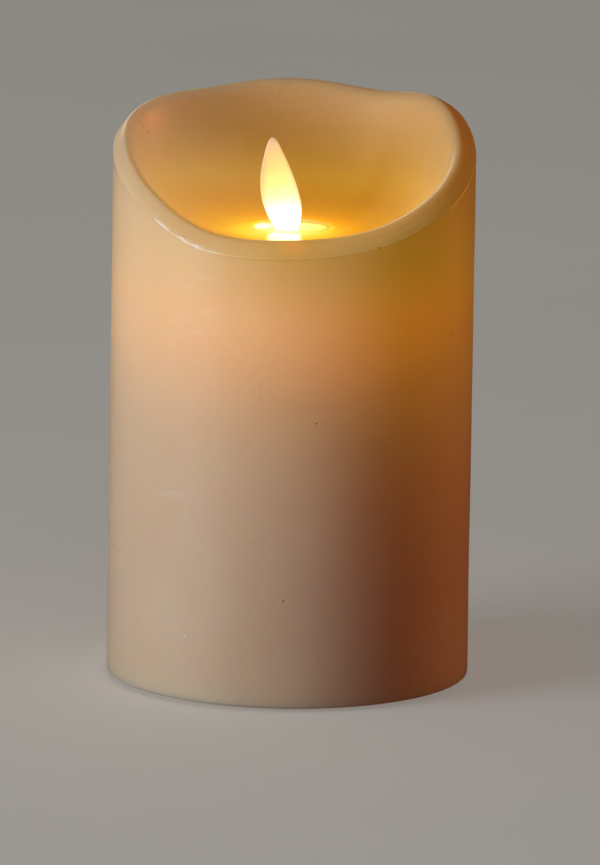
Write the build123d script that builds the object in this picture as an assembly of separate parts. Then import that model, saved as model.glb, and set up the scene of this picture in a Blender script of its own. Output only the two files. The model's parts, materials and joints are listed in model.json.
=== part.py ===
from build123d import *
import math
import os

# Flameless pillar candle: a real-wax shell over a plastic core, a flame leaf that swings
# on a wire above a drive coil, a slanted lamp that lights it, and two AA cells in the base.
# Millimetres. +Z up, origin on the resting surface, on the candle's axis. -Y is the front.
# A pair in brackets after a Z, X or Y name is (low, high).

# ---------------------------------------------------------------- wax
WAX_R = 40.0            # outside of the wax
WAX_BOTTOM = 0.8        # the wax ends this far above the surface the feet stand on
WAX_WALL = 4.5
WAX_FIT = 0.1           # gap between wax and plastic core
BOWL_FLOOR = 100.7      # flat bottom of the melted-looking bowl
BOWL_FLOOR_R = 10.0     # where the bowl starts to rise
BOWL_SHIFT = -0.7       # the bowl's axis lies a little to the left of the candle's
BOWL_SHAPE = 2.5        # power of the curve from the bowl's floor up to the crest
CREST_R = 36.0          # radius at which the rim is highest
RIM_DROP = 2.6          # mean height of the crest above the outer edge
RIM_DROP_SWING = 0.6    # how much that varies round the rim
RIM_DROP_MOST = -131.0  # direction, anticlockwise from +X, in which it is largest
RIM_SHAPE = 1.6         # power of the curve from the crest out to the edge
EDGE_EASE = 0.6         # chamfer on the wax's lower edge

# Height of the rim's crest every 30 degrees anticlockwise from the front: low there, high behind.
RIM = [104.7, 106.5, 112.2, 119.3, 126.2, 125.4, 126.8, 125.6, 124.8, 121.0, 113.1, 105.6]
RIM_STEP = 360 / len(RIM)
# Radii of the rings that the wax's top is ruled between, from its outer edge inwards.
RINGS = [WAX_R, 39.2, 38.0, 37.0, CREST_R, 35.2, 34.0, 32.0, 29.0, 25.5, 21.0, 16.0, BOWL_FLOOR_R]
RING_POINTS = 36

# ---------------------------------------------------------------- plastic core
CORE_WALL = 1.2
CORE_BOTTOM = 1.2
CORE_ROOF_Z = (89.5, 91.0)
NECK_OUT_R = 8.6
NECK_IN_R = 7.4
NECK_TOP = 100.5
NECK_PLATE = 1.0        # thickness of the neck's closed top
OPENING_X = 7.2         # half sizes of the oval opening that the flame stands in
OPENING_Y = 4.2

# ---------------------------------------------------------------- flame
PIVOT_Z = 87.0          # the wire that the flame hangs on
FLAME_LEAN = 8.45       # the flame's lean to the left at rest, degrees
FLAME_TIP = 33.8        # pivot to tip
FLAME_THICK = 1.4
STEM_WIDE = 3.6
STEM_TOP = 12.0
EYE_R = 2.6
WIRE_R = 0.4
WIRE_GAP = 0.08
CUP_R = 3.1
CUP_Z = (-16.5, -12.0)  # along the flame's axis, from the pivot
MAGNET_R = 2.5
MAGNET_LONG = 3.0
MAGNET_SINK = 0.1

# Outline of the leaf above its stem: (half width, height above the pivot), foot to tip.
LEAF_LEFT = [(1.7, 11.5), (3.4, 17.0), (4.15, 21.0), (3.65, 26.0), (2.0, 31.0)]
LEAF_RIGHT = [(1.7, 10.0), (3.5, 14.0), (4.3, 18.0), (3.8, 23.0), (2.6, 28.0)]

# ---------------------------------------------------------------- flame module
MODULE_X = 12.1         # half width
MODULE_Y = (-15.0, 9.6)
MODULE_Z = (54.0, 89.3)
MODULE_WALL = 1.6
SPLIT = 0.05            # half of the gap between the module's two halves
MODULE_FLOOR = MODULE_Z[0] + 2.0
MODULE_ROOF = MODULE_Z[1] - 1.3
MODULE_INSIDE_X = MODULE_X - MODULE_WALL
MODULE_INSIDE_Y = (MODULE_Y[0] + MODULE_WALL, MODULE_Y[1] - MODULE_WALL)
MODULE_MOUTH_R = 7.2    # hole in the module's roof, under the neck
RIB_Y = 3.5             # pivot ribs either side of the flame
RIB_THICK = 1.4
RIB_LOW = 84.0
EAR_Z = (81.8, 83.9)    # ears that the mounting screws go through
EAR_Y = (-11.2, 7.2)
EAR_X = 20.4

LAMP_TILT = 18.0        # degrees from upright, leaning back towards the flame
LAMP_TIP = (0.0, -7.6, 84.0)
LAMP_R = 2.5
LAMP_LONG = 8.6
LAMP_FLANGE = 1.0
LAMP_FLANGE_R = 2.9
LEAD_LONG = 6.0
LEAD_X = 1.27
LEAD_R = 0.25
HOLDER_Z = (77.0, 80.6)
HOLDER_BACK = -5.3

COIL_TOP = 65.0
COIL_R = 7.0
COIL_BARREL_R = 3.0
COIL_BORE_R = 1.5
COIL_CORE_R = 1.45
COIL_FLANGE = 1.4
COIL_FILL = 1.1         # the winding ends this far inside the flanges
COIL_LOW = MODULE_FLOOR + 0.05
PIN_X = 2.54
PIN_Y = 5.2
PIN_R = 0.4
PIN_LOW = 51.5

# ---------------------------------------------------------------- base
BASE_R = 34.0
BASE_Z = (1.2, 3.2)
BAY_X = 28.0            # half sizes of the battery bay's inside
BAY_Y = 14.9
BAY_ROOF = 18.2
BAY_ROOF_THICK = 1.6
BAY_WALL = 1.4
CELL_R = 7.25
CELL_LONG = 50.5
CELL_NUB = 1.0
CELL_NUB_R = 2.75
CELL_Y = 7.45
CELL_Z = 10.6
CONTACT_THICK = 0.4
CONTACT_LOW = 4.4
CONTACT_IN = BAY_X - 0.05 - CONTACT_THICK
CELL_FACE = CONTACT_IN - 0.05
TAB_HALF = 1.5          # half width of a contact's solder tab
TAB_TOP = 23.0
SPRING_R = 3.4
SPRING_WIRE_R = 0.3
SPRING_TURNS = 3.5
TOUCH = 0.02            # hair gap between pieces that bear on each other

DOOR_GAP = 0.3
DOOR_BACK_GAP = 0.8     # the hinged edge swings down through this
DOOR_THICK = 1.6
HINGE_Y = 17.0
HINGE_Z = 3.0
HINGE_PIN_R = 1.0
HINGE_GAP = 0.05
BARREL_R = 1.6
BARREL_X = (8.0, 12.0)  # the door's barrels, either side
LUG_X = (12.3, 15.0)    # the base's lugs outside them
LUG_HALF = 1.9
LUG_Z = (1.4, 5.4)
LATCH_X = 4.0           # half width of the door's latch tab
LATCH_Y = -17.6

FOOT_R = 2.8
FOOT_AT = 22.0
FOOT_SINK = 0.35
FOOT_PLACES = [(sx * FOOT_AT, sy * FOOT_AT) for sx in (-1, 1) for sy in (-1, 1)]

# ---------------------------------------------------------------- switch
SWITCH_Y = 26.0
SWITCH_ROOF = 5.2       # top of the raised island that carries the switch
SWITCH_HIGH = 5.2       # height of the switch's body above that
SWITCH_X = 6.0          # half sizes of the switch's body
SWITCH_DEEP = 3.0
SWITCH_EAR_X = 11.0
SWITCH_SCREW_X = 9.2
KNOB_WIDE = 3.2
KNOB_DEEP = 1.5
KNOB_LOW = 1.1
KNOB_LEDGE = 1.0        # keeps the knob from dropping out of its slot
SWITCH_TRAVEL = 4.0
TERMINAL_X = 3.0
TERMINAL_LONG = 2.6

# ---------------------------------------------------------------- circuit board
BOARD_Z = (23.8, 25.4)
BOARD_X = 18.0
BOARD_Y = 12.0
BOARD_TOP = BOARD_Z[1]
STANDOFF_R = 2.6
STANDOFFS = [(sx * 15.0, sy * 9.0) for sx in (-1, 1) for sy in (-1, 1)]
CHIP_X = (1.0, 5.9)
CHIP_Y = (-2.0, 1.9)
CHIP_PITCH = 1.27
CAN_AT = (-6.5, 1.0)
CAN_R = 3.15
CAN_HIGH = 8.0
TRANSISTOR_AT = (11.0, -3.0)
TRANSISTOR_PITCH = 1.27
RESISTORS = [(-1.6, -7.0), (2.0, -7.0), (9.0, 3.0), (9.0, 6.0), (-11.5, -3.0)]

# ---------------------------------------------------------------- fastenings and wires
BASE_SCREWS = [(-14.5, -27.4), (14.5, -27.4), (-17.0, 25.9), (17.0, 25.9)]
MODULE_SCREWS = [(sx * 17.0, y) for sx in (-1, 1) for y in (-8.0, 4.0)]
JOIN_SCREWS = [(11.6, 60.0), (11.6, 76.0), (-17.0, 64.0)]   # (y, z)
SMALL_SHANK_R = 0.9     # module screws: shank, pilot hole and clearance hole
SMALL_PILOT_R = 0.95
SMALL_CLEAR_R = 1.15
BASE_SHANK_R = 1.15     # base screws: shank, pilot hole, clearance hole and head recess
BASE_PILOT_R = 1.2
BASE_CLEAR_R = 1.35
BASE_RECESS_R = 2.4
WIRE_OUT_R = 0.5        # outside of the insulated wires
BEND_SHARE = 0.45       # share of the shorter run that a bend's arc may use


# ---------------------------------------------------------------- small helpers
def box(x, y, z):
    """A box between the (low, high) limits on each axis."""
    size = [x[1] - x[0], y[1] - y[0], z[1] - z[0]]
    middle = [(x[0] + x[1]) / 2, (y[0] + y[1]) / 2, (z[0] + z[1]) / 2]
    return Pos(*middle) * Box(*size)


def span(middle, half):
    """The (low, high) limits of something centred on a place."""
    return (middle - half, middle + half)


def post(x, y, z, r):
    """An upright cylinder between two heights."""
    return Pos(x, y, (z[0] + z[1]) / 2) * Cylinder(r, z[1] - z[0])


def along_x(x, y, z, r):
    """A cylinder that lies along X."""
    return Pos((x[0] + x[1]) / 2, y, z) * Rot(0, 90, 0) * Cylinder(r, x[1] - x[0])


def along_y(x, y, z, r):
    """A cylinder that lies along Y."""
    return Pos(x, (y[0] + y[1]) / 2, z) * Rot(90, 0, 0) * Cylinder(r, y[1] - y[0])


def group(solids):
    return Compound(children=list(solids))


def save(shape, name):
    export_step(shape, f"parts/{name}.step")


def screw(shank_r, long, head_r, head_high):
    """Pan-head screw: its head from z = 0 down, its shank from z = 0 up."""
    slot_deep = head_high * 0.6
    head = post(0, 0, (-head_high, 0), head_r)
    head = chamfer(head.edges().group_by(Axis.Z)[0], head_high * 0.35)
    slot = box(span(0, head_r * 0.6), span(0, 0.2), (-head_high, slot_deep - head_high))
    head -= slot + Rot(0, 0, 90) * slot
    shank = post(0, 0, (-0.1, long), shank_r)
    shank = chamfer(shank.edges().group_by(Axis.Z)[-1], shank_r * 0.5)
    return head + shank


# ---------------------------------------------------------------- wax shell
def rim_height(angle):
    """Height of the crest at an angle in degrees from +X: a smooth curve through RIM."""
    turns = (angle + 90) % 360 / RIM_STEP
    place = int(turns)
    h0, h1, h2, h3 = [RIM[(place + i) % len(RIM)] for i in (-1, 0, 1, 2)]
    t = turns - place
    slope1 = (h2 - h0) / 2
    slope2 = (h3 - h1) / 2
    rise = h1 * (2 * t**3 - 3 * t**2 + 1) + slope1 * (t**3 - 2 * t**2 + t)
    return rise + h2 * (3 * t**2 - 2 * t**3) + slope2 * (t**3 - t**2)


def rim_drop(angle):
    """How far the outer edge lies below the crest."""
    return RIM_DROP + RIM_DROP_SWING * math.cos(math.radians(angle - RIM_DROP_MOST))


def wax_top(r, angle):
    """Height of the wax's top: flat bowl floor, wall that steepens up to the crest, sloping rim."""
    crest = rim_height(angle)
    if r >= CREST_R:
        return crest - rim_drop(angle) * ((r - CREST_R) / (WAX_R - CREST_R)) ** RIM_SHAPE
    inward = (CREST_R - r) / (CREST_R - BOWL_FLOOR_R)
    return BOWL_FLOOR + (crest - BOWL_FLOOR) * (1 - inward) ** BOWL_SHAPE


def ring(r, shift, height):
    """Closed smooth curve around the axis, following a height given as height(r, angle)."""
    spots = []
    for step in range(RING_POINTS):
        angle = 360 * step / RING_POINTS
        x = shift + r * math.cos(math.radians(angle))
        y = r * math.sin(math.radians(angle))
        spots.append(Vector(x, y, height(r, angle)))
    return Wire([Edge.make_spline(spots, periodic=True)])


def wax_shell():
    """Ruled between rings: eased lower edge, upright side, rim, and bowl down to its floor."""
    rings = [
        ring(WAX_R - EDGE_EASE, 0, lambda r, angle: WAX_BOTTOM),
        ring(WAX_R, 0, lambda r, angle: WAX_BOTTOM + EDGE_EASE),
    ]
    for r in RINGS:
        inside = min((WAX_R - r) / (WAX_R - CREST_R), 1.0)
        rings.append(ring(r, BOWL_SHIFT * inside, wax_top))
    wax = Solid.make_loft(rings, ruled=True)
    wax -= post(0, 0, (0, CORE_ROOF_Z[1] + WAX_FIT * 2), WAX_R - WAX_WALL)
    return wax - post(0, 0, (CORE_ROOF_Z[0], BOWL_FLOOR + 10), NECK_OUT_R + WAX_FIT)


# ---------------------------------------------------------------- inner sleeve
def inner_sleeve():
    """Tube and roof inside the wax, with the flame's neck above and the screw bosses below."""
    out_r = WAX_R - WAX_WALL - WAX_FIT
    boss_r, boss_top, pilot_top = 3.6, 22.0, 16.0
    hanger_r, hanger_z, hanger_pilot_z = 2.8, (EAR_Z[1] + 0.1, CORE_ROOF_Z[0] + 0.5), (80.0, 89.2)
    sleeve = post(0, 0, (CORE_BOTTOM, CORE_ROOF_Z[1]), out_r)
    sleeve -= post(0, 0, (CORE_BOTTOM - 1, CORE_ROOF_Z[0]), out_r - CORE_WALL)
    sleeve += post(0, 0, (CORE_ROOF_Z[0], NECK_TOP), NECK_OUT_R)
    sleeve -= post(0, 0, (CORE_ROOF_Z[0] - 1, NECK_TOP - NECK_PLATE), NECK_IN_R)
    opening = extrude(Ellipse(OPENING_X, OPENING_Y), 2 * NECK_PLATE, both=True)
    sleeve -= Pos(0, 0, NECK_TOP) * opening
    for x, y in BASE_SCREWS:
        sleeve += post(x, y, (BASE_Z[1] + 0.1, boss_top), boss_r)
    for x, y in MODULE_SCREWS:
        sleeve += post(x, y, hanger_z, hanger_r)
    for x, y in BASE_SCREWS:
        sleeve -= post(x, y, (0, pilot_top), BASE_PILOT_R)
    for x, y in MODULE_SCREWS:
        sleeve -= post(x, y, hanger_pilot_z, SMALL_PILOT_R)
    return sleeve


# ---------------------------------------------------------------- flame module
def module_openings(half):
    """Mouth for the flame in the roof, and slots in the floor for the lamp's and coil's wires."""
    floor_z = (MODULE_Z[0] - 1, MODULE_FLOOR + 1)
    half -= post(0, 0, (MODULE_ROOF - 1, MODULE_Z[1] + 1), MODULE_MOUTH_R)
    half -= box((-1, 3.2), (MODULE_INSIDE_Y[0], -10.4), floor_z)
    return half - box((-1, 4.4), (3.8, MODULE_INSIDE_Y[1]), floor_z)


def module_ribs(half):
    """Pivot ribs, the two ledges that hold the lamp's holder, and the coil's side stop."""
    wall_x = MODULE_INSIDE_X + 0.1
    for y in (-RIB_Y, RIB_Y):
        rib_y = span(y, RIB_THICK / 2)
        half += box((SPLIT, wall_x), rib_y, (RIB_LOW, MODULE_ROOF + 0.1))
        half -= along_y(0, rib_y, PIVOT_Z, WIRE_R + TOUCH)
    ledge = 1.2
    for z in (HOLDER_Z[0] - ledge - 0.1, HOLDER_Z[1] + 0.1):
        half += box((9.4, wall_x), (MODULE_INSIDE_Y[0] - 0.1, -5.0), (z, z + ledge))
    stop_z = (MODULE_FLOOR + COIL_FLANGE + 0.1, COIL_TOP - 6.1)
    return half + box((6.35, wall_x), span(0, 3.0), stop_z)


def module_half(side):
    """One half of the moulded case; side is -1 on the left and 1 on the right."""
    join_boss_r, join_boss_x = 2.5, 6.0
    blind_x, through_x = 5.2, 7.0
    half = box((SPLIT, MODULE_X), MODULE_Y, MODULE_Z)
    half -= box((-1, MODULE_INSIDE_X), MODULE_INSIDE_Y, (MODULE_FLOOR, MODULE_ROOF))
    half = module_ribs(module_openings(half))
    half += box((MODULE_X - 0.1, EAR_X), EAR_Y, EAR_Z)
    for x, y in MODULE_SCREWS:
        half -= post(abs(x), y, (EAR_Z[0] - 1, EAR_Z[1] + 1), SMALL_CLEAR_R)
    for y, z in JOIN_SCREWS:
        half += along_x((SPLIT, join_boss_x), y, z, join_boss_r)
    bore_r = SMALL_CLEAR_R if side < 0 else SMALL_PILOT_R
    bore_x = through_x if side < 0 else blind_x
    for y, z in JOIN_SCREWS:
        half -= along_x((-1, bore_x), y, z, bore_r)
    return half if side > 0 else half.mirror(Plane.YZ)


def join_screws():
    one = Rot(0, 90, 0) * screw(SMALL_SHANK_R, 10.5, 2.0, 1.2)
    return group(Pos(-6.05, y, z) * one for y, z in JOIN_SCREWS)


def module_screws():
    one = screw(SMALL_SHANK_R, 6.5, 2.0, 1.2)
    return group(Pos(x, y, EAR_Z[0] - 0.05) * one for x, y in MODULE_SCREWS)


def pivot_wire():
    reach = RIB_Y + RIB_THICK / 2 + 0.3
    return along_y(0, (-reach, reach), PIVOT_Z, WIRE_R)


def lean(shape):
    """Carry a shape from the upright flame frame to its leaning place on the wire."""
    return Pos(0, 0, PIVOT_Z) * Rot(0, -FLAME_LEAN, 0) * shape


def flame_leaf():
    """Thin flame-shaped leaf with a stem, an eye for the wire and a magnet cup."""
    tip = (0.0, FLAME_TIP)
    right = Spline(*LEAF_RIGHT, tip, tangents=[(0.4, 1), (-1, 0)])
    left = Spline(*[(-x, z) for x, z in LEAF_LEFT], tip, tangents=[(-0.1, 1), (1, 0)])
    foot = Line(left @ 0, right @ 0)
    blade = make_face(Curve() + [right, left, foot])
    stem = Pos(0, (CUP_Z[1] + STEM_TOP) / 2) * Rectangle(STEM_WIDE, STEM_TOP - CUP_Z[1])
    flat = blade + stem + Circle(EYE_R)
    leaf = Rot(90, 0, 0) * extrude(flat, FLAME_THICK / 2, both=True)
    leaf += post(0, 0, CUP_Z, CUP_R)
    leaf -= post(0, 0, (CUP_Z[0] - 1, CUP_Z[0] + MAGNET_LONG + 0.15), MAGNET_R + TOUCH)
    leaf -= along_y(0, span(0, 5), 0, WIRE_R + WIRE_GAP)
    return lean(leaf)


def flame_magnet():
    low = CUP_Z[0] + MAGNET_SINK
    magnet = post(0, 0, (low, low + MAGNET_LONG), MAGNET_R)
    return lean(chamfer(magnet.edges().filter_by(GeomType.CIRCLE), 0.2))


def lamp_frame():
    """Lamp frame: origin at the lamp's tip, z along its beam."""
    tilt = math.radians(LAMP_TILT)
    return Plane(origin=LAMP_TIP, x_dir=(1, 0, 0), z_dir=(0, math.sin(tilt), math.cos(tilt)))


def led_lamp():
    straight = post(0, 0, (-LAMP_LONG, -LAMP_R), LAMP_R)
    dome = Pos(0, 0, -LAMP_R) * Sphere(LAMP_R)
    flange = post(0, 0, (-LAMP_LONG, LAMP_FLANGE - LAMP_LONG), LAMP_FLANGE_R)
    return lamp_frame() * (straight + dome + flange)


def led_leads():
    low = -LAMP_LONG - LEAD_LONG
    pair = [post(x, 0, (low, -LAMP_LONG), LEAD_R) for x in (-LEAD_X, LEAD_X)]
    return group(lamp_frame() * lead for lead in pair)


def led_holder():
    """Block across the module that grips the lamp's flange from below."""
    block = box(span(0, MODULE_INSIDE_X - 0.1), (MODULE_INSIDE_Y[0] + 0.1, HOLDER_BACK), HOLDER_Z)
    past_low, past_high = -20, 5
    bore = post(0, 0, (past_low, past_high), LAMP_R + 0.05)
    seat = post(0, 0, (past_low, LAMP_FLANGE - LAMP_LONG + 0.05), LAMP_FLANGE_R + 0.1)
    return block - lamp_frame() * bore - lamp_frame() * seat


def coil_bobbin():
    bobbin = post(0, 0, (COIL_LOW, COIL_TOP), COIL_BARREL_R)
    bobbin += post(0, 0, (COIL_LOW, COIL_LOW + COIL_FLANGE), COIL_R)
    bobbin += post(0, 0, (COIL_TOP - COIL_FLANGE, COIL_TOP), COIL_R)
    for x in (-PIN_X, PIN_X):
        bobbin -= post(x, PIN_Y, (COIL_LOW - 1, COIL_LOW + COIL_FLANGE + 0.3), PIN_R)
    return bobbin - post(0, 0, (COIL_LOW - 1, COIL_TOP + 1), COIL_BORE_R)


def coil_core():
    return post(0, 0, (COIL_LOW + 0.05, COIL_TOP - 0.3), COIL_CORE_R)


def coil_winding():
    z = (COIL_LOW + COIL_FLANGE + 0.05, COIL_TOP - COIL_FLANGE - 0.05)
    return post(0, 0, z, COIL_R - COIL_FILL) - post(0, 0, z, COIL_BARREL_R + 0.03)


def coil_pins():
    return group(post(x, PIN_Y, (PIN_LOW, COIL_LOW + COIL_FLANGE), PIN_R) for x in (-PIN_X, PIN_X))


# ---------------------------------------------------------------- base
def base_housing():
    """Round plate with the battery bay, board posts, switch island, screw holes and foot wells."""
    base = battery_bay(post(0, 0, BASE_Z, BASE_R))
    post_low = BAY_ROOF + 1.0
    for x, y in STANDOFFS:
        base += post(x, y, (post_low, BOARD_Z[0]), STANDOFF_R)
        base -= post(x, y, (post_low + 0.8, BOARD_Z[0] + 1), SMALL_SHANK_R)
    base = switch_island(base)
    recess_z = (0, BASE_Z[0] + 1.2)
    for x, y in BASE_SCREWS:
        base -= post(x, y, (0, BASE_Z[1] + 1), BASE_CLEAR_R)
        base -= post(x, y, recess_z, BASE_RECESS_R)
    for x, y in FOOT_PLACES:
        base -= post(x, y, (0, BASE_Z[0] + FOOT_SINK), FOOT_R + 0.05)
    return base_hinge(base_latch(base))


def battery_bay(plate):
    """Box for the two cells, open below, with slots in its roof for the contacts' tabs."""
    walls_x = span(0, BAY_X + BAY_WALL)
    walls_y = span(0, BAY_Y + BAY_WALL)
    bay = plate + box(walls_x, walls_y, (BASE_Z[0], BAY_ROOF + BAY_ROOF_THICK))
    bay -= box(span(0, BAY_X), span(0, BAY_Y), (0, BAY_ROOF))
    for y in (-CELL_Y, CELL_Y):
        bay -= box((-BAY_X, 0.6 - BAY_X), span(y, TAB_HALF + 0.3), (BAY_ROOF - 1, BAY_ROOF + 3))
    return bay


def switch_island(base):
    """Raised island with the recess and slot for the knob and holes for the switch's screws."""
    roof_thick = 1.6
    base += box(span(0, SWITCH_EAR_X), span(SWITCH_Y, 5.5), (BASE_Z[1] - 0.1, SWITCH_ROOF))
    base -= box(span(0, 8.0), span(SWITCH_Y, 3.8), (0, SWITCH_ROOF - roof_thick))
    slot_x = span(0, (KNOB_WIDE + SWITCH_TRAVEL) / 2 + 0.2)
    base -= box(slot_x, span(SWITCH_Y, KNOB_DEEP + 0.2), (0, SWITCH_ROOF + 1))
    for x in (-SWITCH_SCREW_X, SWITCH_SCREW_X):
        base -= post(x, SWITCH_Y, (2.6, SWITCH_ROOF + 1), 0.85)
    return base


def base_latch(base):
    """Notch for the door's latch tab, with a thumb scoop in front of it."""
    scoop_r = 6.2
    base -= box(span(0, LATCH_X + 0.4), (LATCH_Y - 0.8, 0.1 - BAY_Y), (0, BASE_Z[1] - 0.3))
    return base - Pos(0, -20.2, BASE_Z[0] - 4.6) * Sphere(scoop_r)


def base_hinge(base):
    """Clear the hinge barrels' way through wall and plate, then add the two lugs."""
    for side in (-1, 1):
        way_x = sorted((side * (BARREL_X[0] - 0.3), side * (LUG_X[1] + 0.3)))
        base -= box(way_x, (BAY_Y - 0.2, HINGE_Y + 2.3), (0, 5.0))
        lug_x = sorted((side * LUG_X[0], side * LUG_X[1]))
        base += box(lug_x, span(HINGE_Y, LUG_HALF), LUG_Z)
        base += box(lug_x, (HINGE_Y - LUG_HALF, HINGE_Y + 2.6), (BASE_Z[1] - 0.6, LUG_Z[1]))
        base -= along_x(lug_x, HINGE_Y, HINGE_Z, HINGE_PIN_R + HINGE_GAP)
    return base


def battery_door():
    """Plate with a latch tab in front, finger ridges, cell rests and hinge barrels behind."""
    x = span(0, BAY_X - DOOR_GAP)
    y = (DOOR_GAP - BAY_Y, BAY_Y - DOOR_BACK_GAP)
    z = (BASE_Z[0], BASE_Z[0] + DOOR_THICK)
    door = box(x, y, z)
    door = chamfer(door.edges().filter_by(Axis.Z), 0.8)
    door += box(span(0, LATCH_X), (LATCH_Y, y[0] + 0.5), z)
    ridge_r, ridge_step, ridge_first = 0.35, 1.3, -13.2
    for step in range(4):
        door += along_x(span(0, 7.0), ridge_first + ridge_step * step, z[0] + 0.15, ridge_r)
    for rest_x in (-20.0, 0.0, 20.0):
        door += box(span(rest_x, 0.6), span(0, 12.5), (z[1] - 0.1, z[1] + 0.3))
    return door_barrels(door, y[1] - 0.5, z[1])


def door_barrels(door, web_y, web_top):
    """Two hinge barrels, each on a web from the door's edge, with a pin on its outer end."""
    for side in (-1, 1):
        barrel_x = sorted((side * BARREL_X[0], side * BARREL_X[1]))
        door += along_x(barrel_x, HINGE_Y, HINGE_Z, BARREL_R)
        door += box(barrel_x, (web_y, HINGE_Y), (HINGE_Z - BARREL_R, web_top))
        pin_x = sorted((side * (BARREL_X[1] - 0.5), side * (LUG_X[1] - 0.3)))
        door += along_x(pin_x, HINGE_Y, HINGE_Z, HINGE_PIN_R)
    return door


def battery_cell(side):
    """One AA cell along X; side 1 has its positive nub towards +X."""
    shoulder = CELL_FACE - CELL_NUB
    can = along_x((CELL_FACE - CELL_LONG, shoulder), 0, 0, CELL_R)
    can = fillet(can.edges().filter_by(GeomType.CIRCLE), 0.5)
    can += along_x((shoulder - 0.1, CELL_FACE), 0, 0, CELL_NUB_R)
    groove_x = (shoulder - 1.1, shoulder - 0.7)
    can -= along_x(groove_x, 0, 0, CELL_R + 1) - along_x(groove_x, 0, 0, CELL_R - 0.25)
    if side < 0:
        can = Rot(0, 0, 180) * can
    return Pos(0, side * CELL_Y, CELL_Z) * can


def cell_spring(end, y):
    """Coil spring between the contact at one end of the bay and a cell's flat end."""
    start = CONTACT_IN - SPRING_WIRE_R - TOUCH
    long = start - (CELL_LONG - CELL_FACE) - SPRING_WIRE_R - TOUCH
    path = Helix(long / SPRING_TURNS, long, SPRING_R, center=(0, 0, 0), direction=(0, 0, 1))
    section = Plane(origin=path @ 0, z_dir=path % 0) * Circle(SPRING_WIRE_R)
    coil = sweep(section, path, is_frenet=True)
    return Pos(end * start, y, CELL_Z) * Rot(0, -90 * end, 0) * coil


def end_contact(y):
    """Contact plate at the left end of the bay, with a solder tab through the bay's roof."""
    x = (-CONTACT_IN - CONTACT_THICK, -CONTACT_IN)
    plate = box(x, span(y, 4.6), (CONTACT_LOW, BAY_ROOF - 0.1))
    return plate + box(x, span(y, TAB_HALF), (BAY_ROOF - 0.2, TAB_TOP))


def link_contact():
    """Plate at the right end of the bay that joins the two cells in series."""
    x = (CONTACT_IN, CONTACT_IN + CONTACT_THICK)
    plate = box(x, span(0, 12.2), (CONTACT_LOW, BAY_ROOF - 0.1))
    return fillet(plate.edges().filter_by(Axis.X), 1.5)


def rubber_feet():
    one = post(0, 0, (0, BASE_Z[0] + FOOT_SINK), FOOT_R)
    one = fillet(one.edges().group_by(Axis.Z)[0], 0.35)
    return group(Pos(x, y, 0) * one for x, y in FOOT_PLACES)


def base_screws():
    one = screw(BASE_SHANK_R, 12.0, 2.2, 1.0)
    return group(Pos(x, y, BASE_Z[0] + 1.18) * one for x, y in BASE_SCREWS)


# ---------------------------------------------------------------- switch
def switch_body():
    """Body with a pocket for the knob's carrier and an ear at each end."""
    z = (SWITCH_ROOF + TOUCH, SWITCH_ROOF + SWITCH_HIGH)
    body = box(span(0, SWITCH_X), span(SWITCH_Y, SWITCH_DEEP), z)
    body = fillet(body.edges().group_by(Axis.Z)[-1], 0.4)
    body += box(span(0, SWITCH_EAR_X), span(SWITCH_Y, SWITCH_DEEP), (z[0], z[0] + 0.8))
    reach = (KNOB_WIDE + SWITCH_TRAVEL) / 2 + KNOB_LEDGE + 0.3
    body -= box(span(0, reach), span(SWITCH_Y, 2.3), (z[0] - 1, z[0] + 2.6))
    for x in (-SWITCH_SCREW_X, SWITCH_SCREW_X):
        body -= post(x, SWITCH_Y, (z[0] - 1, z[1]), 1.0)
    return body


def switch_slider():
    """Knob in its ON place, at the left end of its slot, with grip grooves underneath."""
    left = -SWITCH_TRAVEL / 2
    half = KNOB_WIDE / 2
    knob = box(span(left, half), span(SWITCH_Y, KNOB_DEEP), (KNOB_LOW, SWITCH_ROOF + 2.4))
    ledge_z = (SWITCH_ROOF + 0.15, SWITCH_ROOF + 1.2)
    knob += box(span(left, half + KNOB_LEDGE), span(SWITCH_Y, 2.1), ledge_z)
    for step in (-0.9, 0.0, 0.9):
        knob -= box(span(left + step, 0.15), span(SWITCH_Y, 2.0), (KNOB_LOW - 0.1, KNOB_LOW + 0.3))
    return knob


def switch_terminals():
    low = SWITCH_ROOF + SWITCH_HIGH
    z = (low, low + TERMINAL_LONG)
    places = (-TERMINAL_X, 0.0, TERMINAL_X)
    return group(box(span(x, 0.5), span(SWITCH_Y, 0.15), z) for x in places)


def switch_screws():
    one = Rot(180, 0, 0) * screw(0.8, 2.8, 1.6, 1.0)
    places = (-SWITCH_SCREW_X, SWITCH_SCREW_X)
    return group(Pos(x, SWITCH_Y, SWITCH_ROOF + 0.85) * one for x in places)


# ---------------------------------------------------------------- circuit board
def circuit_board():
    board = box(span(0, BOARD_X), span(0, BOARD_Y), BOARD_Z)
    board = fillet(board.edges().filter_by(Axis.Z), 1.0)
    for x, y in STANDOFFS:
        board -= post(x, y, (BOARD_Z[0] - 1, BOARD_TOP + 1), 1.1)
    return board


def controller_chip():
    """Eight-legged package, four legs along each long side."""
    z = (BOARD_TOP + 0.15, BOARD_TOP + 1.6)
    chip = box(CHIP_X, CHIP_Y, z)
    chip = chamfer(chip.edges().group_by(Axis.Z)[-1], 0.25)
    first = (CHIP_X[0] + CHIP_X[1]) / 2 - 1.5 * CHIP_PITCH
    for leg in range(4):
        leg_x = span(first + CHIP_PITCH * leg, 0.2)
        for leg_y in ((CHIP_Y[0] - 1, CHIP_Y[0] + 0.2), (CHIP_Y[1] - 0.2, CHIP_Y[1] + 1)):
            chip += box(leg_x, leg_y, (BOARD_TOP, BOARD_TOP + 0.3))
    return chip


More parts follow.
